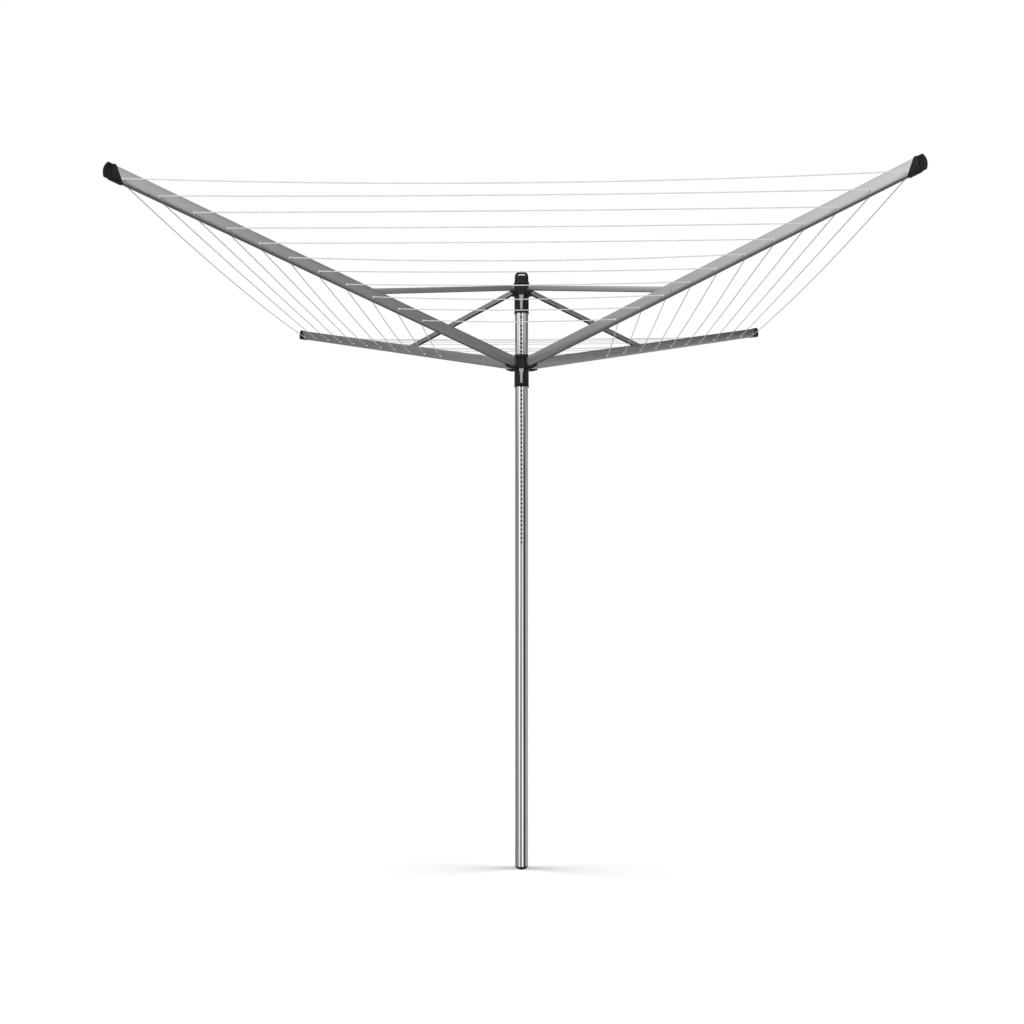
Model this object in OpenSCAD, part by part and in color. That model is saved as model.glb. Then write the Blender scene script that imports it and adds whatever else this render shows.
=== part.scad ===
// Rotary clothesline: a four-armed umbrella dryer on a ground-socket mast.
//
// Frame: millimetres, +Z up, origin at the centre of the mast's lower end.
// The row of height holes and both catch levers face -Y, and the arms stand
// at 45, 135, 225 and 315 degrees round the mast. The open position is the
// rest position.
//
// The fold is a linkage of equal triangles: each arm turns on the lower hub,
// each brace on the upper hub, and both meet in one pin. The two hub pivots
// lie on one upright line and the two legs are equal, so every angle of the
// linkage stays in a constant ratio to the fold.

/* [Mast] */
// Outer diameter of the mast tube
mast_d = 45; // [40:0.5:55]
// Wall of the mast tube
mast_wall = 1.5; // [1.2:0.1:2.5]
// Length of the mast that the ground socket takes in
spigot_len = 300; // [250:10:330]
// Diameter of each height hole
hole_d = 7; // [6:0.5:9]
// Distance from one height hole to the next
hole_pitch = 15; // [12:0.5:18]
// Height holes below the lower hub's level
holes_below = 42; // [24:1:46]

/* [Linkage] */
// Height of the lower hub's level above the mast's lower end
hub_z = 1764; // [1400:2:2130]
// Hole pitches between the two hubs
hub_pitches = 17; // [14:1:20]
// Gap between an arm's round end and the hub's sleeve
pivot_gap = 3; // [3:0.25:15]
// Pivot to pivot length of a brace, and of the inner part of an arm
leg_len = 630; // [520:5:760]
// How far the arm pivots lie above the lower hub's level
arm_pivot_up = 6; // [0:0.5:8]
// How far the brace pivots lie below the upper hub's level
brace_pivot_down = 5; // [0:0.5:8]

/* [Arms] */
// Length of an arm tube from its hub pivot
arm_len = 1414; // [1300:2:1700]
// Height of an arm tube
arm_h = 36; // [30:0.5:44]
// Width of an arm tube
arm_w = 15; // [13:0.5:20]
// Wall of an arm tube
arm_wall = 1.2; // [1:0.1:1.8]
// Length of a tip cap's top part, without the loop
tip_body = 24; // [23:0.5:30]
// Wall of a tip cap round the tube
tip_wall = 1.2; // [1:0.1:2.5]
// Width of the recess in a tip cap's loop, along the arm
loop_gap = 12; // [12:0.5:16]
// Height of the recess in a tip cap's loop
loop_h = 28; // [22:1:30]
// Thickness of the bar round a loop's recess
loop_bar = 5; // [4:0.5:8]
// Width of the loop across the arm
loop_t = 8; // [6:0.5:8]
// Web that closes the middle of the loop
loop_web = 2; // [1.5:0.5:3]

/* [Braces] */
// Wall of a brace channel
brace_wall = 1.2; // [1:0.1:1.5]
// Gap between a folded brace and the floor of its arm
brace_play = 0.3; // [0.2:0.1:1]

/* [Line] */
// Levels of clothes line
line_levels = 11; // [4:1:12]
// Diameter of the clothes line
line_d = 3; // [2.5:0.5:4]
// Distance from an arm's hub pivot to its innermost line hole
line_first = 398; // [200:2:450]
// Distance from the outermost line hole to its tip cap
line_last = 8; // [6:0.5:40]
// How far the line holes lie below an arm's middle
line_down = 7; // [6.5:0.25:9]

/* [Hubs] */
// Distance from the mast's surface to the outside of a hub's sleeve
sleeve_wall = 2.5; // [2.5:0.1:4.5]
// Length of a hub below its level
sleeve_down = 89; // [84:1:100]
// Height of a hub above its level
collar_up = 22; // [20:0.5:28]
// How far a hub's flared collar stands out past its sleeve
collar_flare = 2.8; // [1.5:0.1:3.5]
// Length of each guide bush
bush_len = 9; // [7:1:9]
// Wall of a guide bush
bush_wall = 1.2; // [1:0.1:1.3]

/* [Catches] */
// Width of a catch lever's head
lever_head_w = 15; // [14:0.2:18]
// Width of a catch lever's tail
lever_tail_w = 8; // [7:0.5:9]
// Height of a catch lever's head
lever_head_h = 17; // [14:1:18]
// Hole pitches from a hub's level down to its catch nose
nose_pitches = 5; // [5:1:5]
// How much a height hole is wider than the catch nose
nose_play = 1.2; // [1.2:0.1:2]

/* [Top cap] */
// Height of the top cap above the mast tube
cap_h = 35; // [33:1:45]
// How far the top cap stands out past the mast
cap_flare = 1; // [0.5:0.1:3]
// Width of the top cap's loop opening
cap_gap_w = 28; // [22:1:30]
// Height of the top cap's loop opening
cap_gap_h = 10.5; // [9:0.5:12]

/* [Clearances] */
// Gap between pieces that pass each other
gap = 0.3; // [0.25:0.05:0.4]
// Radial gap of a running fit
run_gap = 0.05; // [0.02:0.01:0.09]

/* [Hidden] */
$fn = 48;
eps = 0.01;
over = 5;                 // how far a cutting tool runs past what it cuts

// Mast
mast_r = mast_d / 2;
mast_bore_r = mast_r - mast_wall;
hub_gap = hub_pitches * hole_pitch;
upper_hub_z = hub_z + hub_gap;
mast_top = upper_hub_z + collar_up + 1;
foot_up = 10;             // where the mast tube starts above the foot's floor
socket_groove = 0.4;      // depth of the insertion mark round the mast
socket_groove_h = 4;

// Hub sleeve and pivots
sleeve_r = mast_r + sleeve_wall;
pivot_r = sleeve_r + arm_h / 2 + pivot_gap;

// Linkage; the pins are set out from the arm's height
pin_r = arm_h / 12;
arm_pin_up = arm_h * 10 / 36;      // from an arm's middle up to its hub pivot
arm_pin_down = arm_h * 5.5 / 36;   // from an arm's middle down to its brace pivot
brace_pin_in = arm_h / 18;         // from a brace's middle up to its hub pivot
brace_pin_out = arm_h / 12;        // from a brace's middle down to its arm pivot
arm_pivot_z = hub_z + arm_pivot_up;
brace_pivot_z = upper_hub_z - brace_pivot_down;
leg_tilt = asin((brace_pivot_z - arm_pivot_z) / 2 / leg_len);
pin_step = arm_pin_up + arm_pin_down;
arm_tilt = leg_tilt + asin(pin_step / leg_len);
brace_pin_l = sqrt(leg_len * leg_len - pin_step * pin_step);
fold_max = 84 - leg_tilt; // the folded arms' pivot line stands 84 degrees up
pin_head_r = pin_r + 1.3;
pin_head_h = 1.2;

// Arms: x runs along the arm from its hub pivot, z square to it
arm_mid = -arm_pin_up;
arm_top = arm_mid + arm_h / 2;
arm_bottom = arm_mid - arm_h / 2;
arm_inner_w = arm_w - 2 * arm_wall;
brace_pin_q = arm_mid - arm_pin_down;
tip_seat = 20;            // how far the tube reaches into its tip cap
tip_start = arm_len - tip_seat;
tip_w = arm_w + 2 * tip_wall;
tip_h = arm_h + 4;
tip_rake_low = 11;        // the cap's inner edge is raked: its foot reaches this far in
tip_rake_top = 16;        // and its top starts this far out
tip_len = tip_body + loop_gap + loop_bar;

// Braces: each folds into its arm
brace_w = arm_inner_w - 2 * gap;
brace_r = arm_h / 2 - arm_wall - arm_pin_down - brace_pin_out - brace_play;
brace_h = 2 * brace_r;
brace_drop = brace_pin_in + brace_pin_out;
brace_turn = asin(brace_drop / leg_len);
brace_len = sqrt(leg_len * leg_len - brace_drop * brace_drop);
brace_inner_w = brace_w - 2 * brace_wall;
// The stretch of an arm's top wall that a folding brace passes through
brace_rest_angle = arm_tilt + leg_tilt;
brace_fold_angle = 2 * (90 - leg_tilt - fold_max) - (arm_tilt - leg_tilt);
brace_rise = arm_top - brace_pin_q;
brace_reach = brace_r + brace_pin_out;
slot_in = brace_rise / tan(brace_rest_angle) + brace_reach / sin(brace_rest_angle) + 4;
slot_out = brace_rise / tan(brace_fold_angle) + brace_reach / sin(brace_fold_angle) + 4;

// Line
line_pitch = (tip_start - line_last - line_first) / (line_levels - 1);
line_q = arm_mid - line_down;
eyelet_bore_r = line_d / 2 + 0.4;
eyelet_barrel_r = eyelet_bore_r + 0.6;
eyelet_flange_r = eyelet_barrel_r + 0.8;
eyelet_flange_h = 0.8;
line_out = arm_w / 2 + eyelet_flange_h + line_d / 2 + gap;  // where the line turns
line_joint = 0.05;        // gap between two arms' parts of the line, at mid-side

// Hubs
hub_bore_r = mast_r + 0.4;
bush_bore_r = mast_r + run_gap * 2;
bush_r = bush_bore_r + bush_wall;
collar_r = sleeve_r + collar_flare;
collar_rim = 10;          // height of the collar's flared rim above its foot
arm_lug_t = arm_inner_w - 2 * gap;
brace_lug_t = brace_inner_w - 2 * gap;
arm_lug_boss = arm_top - 1;
brace_lug_boss = brace_r - brace_wall - brace_pin_in - gap;
lug_foot = arm_bottom + arm_pivot_up;  // where the lugs' roots swell from the sleeve
ledge_r = 26;             // how far an arm's ledge reaches past its pivot

// Catches, measured from a hub's level, with the front at -Y
nose_r = (hole_d - nose_play) / 2;
nose_z = -nose_pitches * hole_pitch;
lever_top = nose_z + 46;
lever_foot = nose_z - 4;
lever_pin_z = lever_top - lever_head_h - 4;
lever_pin_r = 1.25;
lever_front = sleeve_r + 7;
lever_t = 3;
lever_back = lever_front - lever_t;
lever_pin_y = lever_back - 0.2;
lever_knuckle_r = 2.2;
house_w = lever_head_w + 8;
house_front = sleeve_r + 6;
house_top = lever_top + 3;
house_foot = lever_foot - 3;
house_floor = sleeve_r + 1.2;
spring_t = 0.8;
spring_w = 6;
spring_back = sleeve_r - 1.4;
spring_top = lever_pin_z + 6;
stud_r = 1.4;
dome_reach = 2;           // how far the nose reaches inside the mast's wall

// Colours
steel = [0.66, 0.67, 0.68];
grey_metal = [0.56, 0.57, 0.58];
black_plastic = [0.09, 0.09, 0.10];
grey_plastic = [0.50, 0.50, 0.51];
light_line = [0.80, 0.81, 0.80];

// ---------------------------------------------------------------- helpers

// Children drawn for arm i (1 to 4), with +X pointing outwards along it.
module at_arm(i) rotate([0, 0, 90 * i - 45]) children();

// Children drawn in the frame of arm i: origin at its hub pivot, +X along it.
module in_arm(i) at_arm(i)
    translate([pivot_r, 0, arm_pivot_z]) rotate([0, -arm_tilt, 0]) children();

// Children drawn in the frame of brace i: origin on its middle, under its hub
// pivot, with +X along it.
module in_brace(i) at_arm(i)
    translate([pivot_r, 0, brace_pivot_z]) rotate([0, leg_tilt - brace_turn, 0])
        translate([0, 0, -brace_pin_in]) children();

// A cylinder along Y, centred on the origin.
module cross_cylinder(r, len) rotate([90, 0, 0]) cylinder(r = r, h = len, center = true);

// A slab in the XZ plane, cut from a 2D outline and centred on y = 0.
module slab(t) rotate([90, 0, 0]) linear_extrude(height = t, center = true) children();

// A shouldered rivet along Y that spans a joint of width w.
module rivet(w) {
    shank = w + 2 * gap;
    cross_cylinder(pin_r, shank + 2 * eps);
    for (side = [-1, 1]) translate([0, side * (shank + pin_head_h) / 2, 0])
        cross_cylinder(pin_head_r, pin_head_h);
}

// ------------------------------------------------------------------- mast

// The steel tube with its row of height holes and the insertion mark.
module mast_tube() color(steel) difference() {
    translate([0, 0, foot_up]) cylinder(r = mast_r, h = mast_top - foot_up);
    translate([0, 0, foot_up - over])
        cylinder(r = mast_bore_r, h = mast_top - foot_up + 2 * over);
    for (k = [-holes_below : hub_pitches])
        translate([0, -mast_r, hub_z + k * hole_pitch])
            cross_cylinder(hole_d / 2, mast_r);
    translate([0, 0, spigot_len]) difference() {
        cylinder(r = mast_r + over, h = socket_groove_h);
        translate([0, 0, -eps])
            cylinder(r = mast_r - socket_groove, h = socket_groove_h + 2 * eps);
    }
}

// The plug that closes the mast's lower end, with a tapered nose.
module mast_foot() color(black_plastic) rotate_extrude() polygon([
    [0, 0], [mast_r - 6, 0], [mast_r - 1, 5], [mast_r, foot_up],
    [mast_bore_r, foot_up], [mast_bore_r, foot_up + 32],
    [mast_bore_r - 2, foot_up + 36], [mast_bore_r - 4, foot_up + 36],
    [mast_bore_r - 4, foot_up + 6], [0, foot_up + 6]
]);

// The cap on the mast's upper end, with its carrying loop.
module top_cap() color(black_plastic) translate([0, 0, mast_top]) {
    cap_r = mast_r + cap_flare;
    cap_solid = cap_h - 16;     // height of the round part
    gap_floor = cap_h - 7 - cap_gap_h;
    difference() {
        union() {
            rotate_extrude() polygon([
                [0, 0], [cap_r + 0.8, 0], [cap_r + 0.8, 3], [cap_r, 4],
                [cap_r, cap_solid - 4], [cap_r - 4, cap_solid], [0, cap_solid]
            ]);
            slab(16) cap_outline(cap_r);
        }
        slab(2 * cap_r) cap_opening(gap_floor);
    }
    translate([0, 0, -24]) difference() {
        cylinder(r = mast_bore_r, h = 24 + eps);
        translate([0, 0, -eps]) cylinder(r = mast_bore_r - 3, h = 20);
    }
}

// Outline of the carrying loop, an arch on a straight foot.
module cap_outline(cap_r) {
    flat = 3.5;                 // half the flat at the crown
    shoulder = cap_r - flat;
    foot = cap_h - shoulder;
    translate([-cap_r, 2]) square([2 * cap_r, foot - 2]);
    translate([-flat, foot - 1]) square([2 * flat, shoulder + 1]);
    intersection() {
        translate([-cap_r, foot - 1]) square([2 * cap_r, shoulder + 1]);
        for (side = [-1, 1]) translate([side * flat, foot]) circle(r = shoulder);
    }
}

// The loop's opening: a flat floor under an arched roof.
module cap_opening(gap_floor) translate([0, gap_floor]) {
    roof_r = 8.5;
    half = cap_gap_w / 2;
    translate([-half, 0]) square([cap_gap_w, cap_gap_h - roof_r]);
    translate([-(half - roof_r), 0]) square([2 * (half - roof_r), cap_gap_h]);
    intersection() {
        translate([-half, 0]) square([cap_gap_w, cap_gap_h]);
        for (side = [-1, 1]) translate([side * (half - roof_r), cap_gap_h - roof_r])
            circle(r = roof_r);
    }
}

// ------------------------------------------------------------------- hubs

// A hub with its level at z = 0, bored for the mast, with four lugs whose
// pivots lie at a height of up.
module hub(lug_t, up) difference() {
    union() {
        rotate_extrude() polygon([
            [0, -sleeve_down], [sleeve_r + 0.7, -sleeve_down],
            [sleeve_r + 0.7, 5 - sleeve_down], [sleeve_r, 6 - sleeve_down],
            [sleeve_r, lug_foot - 8], [sleeve_r + 5, lug_foot - 4],
            [sleeve_r + 5, lug_foot + 2], [sleeve_r, lug_foot + 11],
            [sleeve_r, collar_up - collar_rim - collar_flare],
            [collar_r, collar_up - collar_rim], [collar_r, collar_up - collar_rim + 2],
            [sleeve_r, collar_up], [0, collar_up]
        ]);
        for (i = [1 : 4]) at_arm(i) translate([pivot_r, 0, up]) slab(lug_t) children();
        translate([0, 0, house_foot]) linear_extrude(height = house_top - house_foot)
            catch_house();
    }
    translate([0, 0, -sleeve_down - over])
        cylinder(r = hub_bore_r, h = sleeve_down + collar_up + 2 * over);
    for (z = [collar_up - bush_len, -sleeve_down - over])
        translate([0, 0, z]) cylinder(r = bush_r, h = bush_len + over);
    for (i = [1 : 4]) at_arm(i) translate([pivot_r, 0, up]) cross_cylinder(pin_r, arm_w);
    catch_pocket();
}

// Plan of the block that holds the catch lever at the front of a hub.
module catch_house() polygon([
    [-house_w / 2, 0], [-house_w / 2, 3 - house_front], [3 - house_w / 2, -house_front],
    [house_w / 2 - 3, -house_front], [house_w / 2, 3 - house_front], [house_w / 2, 0]
]);

// The room for a lever's head, its tail and the leaf spring behind it.
module catch_pocket() {
    head_w = lever_head_w + 2 * gap;
    tail_w = lever_tail_w + 2 * gap;
    head_foot = lever_pin_z - lever_knuckle_r - 1;
    translate([-head_w / 2, -house_front - over, head_foot])
        cube([head_w, house_front + over - house_floor, lever_top + 0.8 - head_foot]);
    translate([-tail_w / 2, -house_front - over, lever_foot - 0.8])
        cube([tail_w, over + house_front - mast_bore_r, head_foot - lever_foot + 1]);
    translate([-spring_w / 2, -spring_back - spring_t, lever_foot - 0.8])
        cube([spring_w, spring_t, spring_top - lever_foot + 0.8]);
    translate([0, -lever_pin_y, lever_pin_z]) rotate([0, 90, 0])
        cylinder(r = lever_pin_r, h = house_w + over, center = true);
}

// Outline of an arm's lug: a web from the neck, the pivot boss and the ledge.
module arm_lug() {
    root = sleeve_r - pivot_r - 1;
    under = arm_bottom / cos(arm_tilt) - 0.5;
    ledge_in = 14;
    circle(r = arm_lug_boss);
    polygon([
        [root, arm_lug_boss - 3], [-3, arm_lug_boss - 3], [arm_lug_boss - 3, -5],
        [ledge_in, under + ledge_in * tan(arm_tilt)],
        [ledge_r, under + ledge_r * tan(arm_tilt)],
        [ledge_r + 0.5, under + ledge_r * tan(arm_tilt) - 4.5],
        [8, under - 4.5], [root, under - 7]
    ]);
}

// Outline of a brace's lug, which the open underside of the channel swallows.
module brace_lug() {
    root = sleeve_r - pivot_r - 1;
    circle(r = brace_lug_boss);
    polygon([
        [root, brace_lug_boss - 1], [-2, brace_lug_boss - 1], [brace_lug_boss - 1, -3],
        [5.5, -brace_r - 4], [4.5, -brace_r - 6],
        [root, lug_foot - 7 + brace_pivot_down]
    ]);
}

// Two liners that guide a hub on the mast, in its collar and in its lip.
module hub_bushes() for (z = [collar_up - bush_len, -sleeve_down])
    translate([0, 0, z]) difference() {
        cylinder(r = bush_r, h = bush_len);
        translate([0, 0, -eps]) cylinder(r = bush_bore_r, h = bush_len + 2 * eps);
    }

// Four rivets round a hub, each through a joint of width w.
module hub_pins(w) for (i = [1 : 4]) at_arm(i) translate([pivot_r, 0, 0]) rivet(w);

module upper_hub() color(black_plastic)
    translate([0, 0, upper_hub_z]) hub(brace_lug_t, -brace_pivot_down) brace_lug();
module upper_hub_bushes() color(grey_plastic)
    translate([0, 0, upper_hub_z]) hub_bushes();
module upper_hub_pins() color(steel)
    translate([0, 0, brace_pivot_z]) hub_pins(brace_w);
module lower_hub() color(black_plastic)
    translate([0, 0, hub_z]) hub(arm_lug_t, arm_pivot_up) arm_lug();
module lower_hub_bushes() color(grey_plastic)
    translate([0, 0, hub_z]) hub_bushes();
module lower_hub_pins() color(steel)
    translate([0, 0, arm_pivot_z]) hub_pins(arm_w);

// ---------------------------------------------------------------- catches

// The keyhole-shaped lever: a broad head to press and a narrow tail.
module catch_lever() difference() {
    union() {
        translate([-lever_head_w / 2, -lever_front, lever_top - lever_head_h])
            cube([lever_head_w, lever_t, lever_head_h]);
        translate([-lever_tail_w / 2, -lever_front, lever_foot])
            cube([lever_tail_w, lever_t, lever_top - lever_foot - 2]);
        translate([0, -lever_pin_y, lever_pin_z]) rotate([0, 90, 0])
            cylinder(r = lever_knuckle_r, h = lever_tail_w, center = true);
    }
    translate([0, -lever_pin_y, lever_pin_z]) rotate([0, 90, 0])
        cylinder(r = lever_pin_r + run_gap, h = lever_head_w, center = true);
    translate([0, -lever_front, nose_z]) cross_cylinder(stud_r + gap, 3 * lever_t);
}

// The pin that a lever turns on, across the front of its hub.
module catch_pin() translate([0, -lever_pin_y, lever_pin_z]) rotate([0, 90, 0])
    cylinder(r = lever_pin_r, h = house_w - 2, center = true);

// The leaf spring with the nose that drops into a height hole, and the
// stud that the lever pulls it back by.
module catch_spring() {
    nose_tip = mast_bore_r - dome_reach;
    stud_end = lever_front + 0.4;
    translate([-spring_w / 2, -spring_back - spring_t, lever_foot])
        cube([spring_w, spring_t, spring_top - lever_foot]);
    translate([0, -(nose_tip + spring_back) / 2, nose_z])
        cross_cylinder(nose_r, spring_back - nose_tip + 2 * eps);
    translate([0, -(spring_back + stud_end) / 2, nose_z])
        cross_cylinder(stud_r, stud_end - spring_back + 2 * eps);
    translate([0, -stud_end - 0.5, nose_z]) cross_cylinder(stud_r + 1, 1);
}

module upper_catch_lever() color(grey_plastic)
    translate([0, 0, upper_hub_z]) catch_lever();
module upper_catch_pin() color(steel) translate([0, 0, upper_hub_z]) catch_pin();
module upper_catch_spring() color(steel)
    translate([0, 0, upper_hub_z]) catch_spring();
module lower_catch_lever() color(grey_plastic)
    translate([0, 0, hub_z]) catch_lever();
module lower_catch_pin() color(steel) translate([0, 0, hub_z]) catch_pin();
module lower_catch_spring() color(steel)
    translate([0, 0, hub_z]) catch_spring();

// ------------------------------------------------------------------- arms

// Side view of an arm tube: a long strip with a round inner end.
module arm_outline() {
    translate([0, arm_bottom]) square([arm_len, arm_h]);
    translate([0, arm_mid]) circle(r = arm_h / 2);
}

// An arm tube, slotted over the hub's lug and where the brace folds in.
module arm(i) color(grey_metal) in_arm(i) difference() {
    slab(arm_w) arm_outline();
    translate([-arm_h, -arm_inner_w / 2, arm_bottom + arm_wall])
        cube([arm_len + arm_h + over, arm_inner_w, arm_h - 2 * arm_wall]);
    translate([-arm_h, -arm_inner_w / 2, arm_bottom - over])
        cube([arm_h + 12, arm_inner_w, arm_h + 2 * over]);
    translate([brace_pin_l - slot_in, -arm_inner_w / 2, arm_mid])
        cube([slot_in + slot_out, arm_inner_w, arm_h]);
    cross_cylinder(pin_r + run_gap, arm_w + over);
    translate([brace_pin_l, 0, brace_pin_q]) cross_cylinder(pin_r, arm_w + over);
    at_line_holes() cross_cylinder(eyelet_barrel_r, arm_w + over);
}

// Children at each line hole, in an arm's frame.
module at_line_holes() for (k = [0 : line_levels - 1])
    translate([line_first + k * line_pitch, 0, line_q]) children();

// A tip cap: a raked socket over the tube's end and a loop with a recess.
module arm_tip(i) color(black_plastic) in_arm(i) translate([tip_start, 0, arm_mid])
    difference() {
        union() {
            slab(tip_w) tip_body_outline();
            slab(loop_t) tip_loop_outline();
        }
        translate([-tip_rake_low - over, -arm_w / 2, -arm_h / 2])
            cube([tip_rake_low + over + tip_seat, arm_w, arm_h]);
        for (side = [-1, 1]) translate([0, side * (loop_t + loop_web) / 2, 0])
            slab(loop_t) tip_recess();
    }

// Side view of a tip cap's socket, with its raked inner edge.
module tip_body_outline() {
    corner = 4;
    half = tip_h / 2;
    polygon([
        [-tip_rake_low, -half], [tip_body - corner, -half],
        [tip_body - corner, half], [tip_rake_top, half]
    ]);
    translate([tip_body - corner - 1, corner - half])
        square([corner + 1, tip_h - 2 * corner]);
    for (side = [-1, 1]) translate([tip_body - corner, side * (half - corner)])
        circle(r = corner);
}

// Side view of a tip cap's loop, bowed outwards.
module tip_loop_outline() {
    half = tip_h / 2;
    intersection() {
        translate([tip_body - 6, -half]) square([tip_len, tip_h]);
        translate([tip_len - tip_h, 0]) circle(r = tip_h, $fn = 96);
        translate([0, -half]) square([tip_len, tip_h]);
    }
}

// The recess in a tip cap's loop, flat inside and bowed outside.
module tip_recess() intersection() {
    translate([tip_body, -loop_h / 2]) square([tip_len, loop_h]);
    translate([tip_len - tip_h, 0]) circle(r = tip_h - loop_bar, $fn = 96);
}

// A ring in each line hole, on both faces of an arm.
module line_eyelets(i) color(light_line) in_arm(i) at_line_holes()
    for (side = [-1, 1]) rotate([side * 90, 0, 0])
        translate([0, 0, arm_w / 2 - arm_wall]) rotate_extrude() polygon([
            [eyelet_bore_r, 0], [eyelet_barrel_r - run_gap, 0],
            [eyelet_barrel_r - run_gap, arm_wall], [eyelet_flange_r, arm_wall],
            [eyelet_flange_r - 0.4, arm_wall + eyelet_flange_h],
            [eyelet_bore_r, arm_wall + eyelet_flange_h]
        ]);

// ----------------------------------------------------------------- braces

// A brace: a channel open below, round at both ends, pinned to hub and arm.
module brace(i) color(grey_metal) in_brace(i) difference() {
    slab(brace_w) {
        translate([0, -brace_r]) square([brace_len, brace_h]);
        circle(r = brace_r);
        translate([brace_len, 0]) circle(r = brace_r);
    }
    translate([-brace_h, -brace_inner_w / 2, -brace_h])
        cube([brace_len + 2 * brace_h, brace_inner_w, brace_h + brace_r - brace_wall]);
    translate([0, 0, brace_pin_in]) cross_cylinder(pin_r + run_gap, brace_w + over);
    translate([brace_len, 0, -brace_pin_out])
        cross_cylinder(pin_r + run_gap, brace_w + over);
}

// The rivet that joins a brace to its arm.
module brace_pin(i) color(steel) in_arm(i)
    translate([brace_pin_l, 0, brace_pin_q]) {
        cross_cylinder(pin_r, arm_w + 2 * eps);
        for (side = [-1, 1]) translate([0, side * (arm_w + pin_head_h) / 2, 0])
            cross_cylinder(pin_head_r, pin_head_h);
    }

// ------------------------------------------------------------ clothes line

// Radius from the mast's axis of line hole k.
function line_r(k) = pivot_r + (line_first + k * line_pitch) * cos(arm_tilt)
    - line_q * sin(arm_tilt);
// Height of line hole k.
function line_z(k) = arm_pivot_z + (line_first + k * line_pitch) * sin(arm_tilt)
    + line_q * cos(arm_tilt);

// The line that arm i carries: at each level it crosses the arm through its
// two eyelets and runs out to the middle of the side on either hand.
module clothes_line(i) color(light_line) at_arm(i) for (k = [0 : line_levels - 1])
    translate([line_r(k), 0, line_z(k)]) {
        half_side = (line_r(k) - line_out) * sin(45) - line_joint;
        cross_cylinder(line_d / 2, 2 * line_out);
        for (side = [-1, 1]) translate([0, side * line_out, 0]) {
            sphere(r = line_d / 2);
            rotate([0, 0, side * 135]) rotate([0, 90, 0])
                cylinder(r = line_d / 2, h = half_side);
        }
    }

mast_tube();
mast_foot();
top_cap();
upper_hub();
upper_hub_bushes();
upper_hub_pins();
upper_catch_lever();
upper_catch_pin();
upper_catch_spring();
lower_hub();
lower_hub_bushes();
lower_hub_pins();
lower_catch_lever();
lower_catch_pin();
lower_catch_spring();
arm(1);  // arm_1
arm(2);  // arm_2
arm(3);  // arm_3
arm(4);  // arm_4
arm_tip(1);  // arm_tip_1
arm_tip(2);  // arm_tip_2
arm_tip(3);  // arm_tip_3
arm_tip(4);  // arm_tip_4
line_eyelets(1);  // line_eyelets_1
line_eyelets(2);  // line_eyelets_2
line_eyelets(3);  // line_eyelets_3
line_eyelets(4);  // line_eyelets_4
brace(1);  // brace_1
brace(2);  // brace_2
brace(3);  // brace_3
brace(4);  // brace_4
brace_pin(1);  // brace_pin_1
brace_pin(2);  // brace_pin_2
brace_pin(3);  // brace_pin_3
brace_pin(4);  // brace_pin_4
clothes_line(1);  // clothes_line_1
clothes_line(2);  // clothes_line_2
clothes_line(3);  // clothes_line_3
clothes_line(4);  // clothes_line_4
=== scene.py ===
import logging
import math
from abc import ABC, abstractmethod
from dataclasses import dataclass, field
from enum import Enum
from typing import Any, Callable, Iterable, Mapping, Sequence

import bmesh
import bpy
from mathutils import Matrix, Vector


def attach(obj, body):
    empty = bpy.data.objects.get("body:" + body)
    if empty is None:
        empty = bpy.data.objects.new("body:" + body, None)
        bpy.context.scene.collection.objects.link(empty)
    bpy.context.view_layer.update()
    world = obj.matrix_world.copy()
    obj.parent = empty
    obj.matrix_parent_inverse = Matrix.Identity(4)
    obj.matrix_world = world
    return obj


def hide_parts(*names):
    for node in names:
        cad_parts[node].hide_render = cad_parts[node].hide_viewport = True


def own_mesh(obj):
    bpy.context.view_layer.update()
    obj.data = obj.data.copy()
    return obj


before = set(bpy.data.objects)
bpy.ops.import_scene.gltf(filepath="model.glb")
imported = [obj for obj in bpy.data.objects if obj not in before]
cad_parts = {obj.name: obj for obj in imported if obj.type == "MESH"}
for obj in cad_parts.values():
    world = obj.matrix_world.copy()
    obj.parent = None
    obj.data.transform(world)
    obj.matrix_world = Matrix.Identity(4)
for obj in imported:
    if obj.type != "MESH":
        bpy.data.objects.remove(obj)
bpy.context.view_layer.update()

MM = 0.001
LOG = logging.getLogger("clothesline")

# distances and angles within which points are merged, faces joined and edges found
MERGE = 0.002 * MM
NODE_MERGE = 0.003 * MM
FLAT = math.radians(0.6)
CREASE = math.radians(32)
NEAR = 0.01 * MM

# the least share of a direction that counts as along an axis, the share of a half
# width that rounds an end without its arcs meeting, and the play round a pin
SQUARE = 0.9
ALMOST = 0.999
PIN_PLAY = 0.05 * MM

# a Mix node's colour sockets, which share their names with its others, and how
# much of each octave of a noise the next one keeps
MIX_LOW, MIX_HIGH, MIX_RESULT = 6, 7, 2
OCTAVE_FADE = 0.55

Piece = bpy.types.Object
Point = tuple[float, float, float]
Stops = Sequence[tuple[float, float]]


# ---- sizes ----


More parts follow.
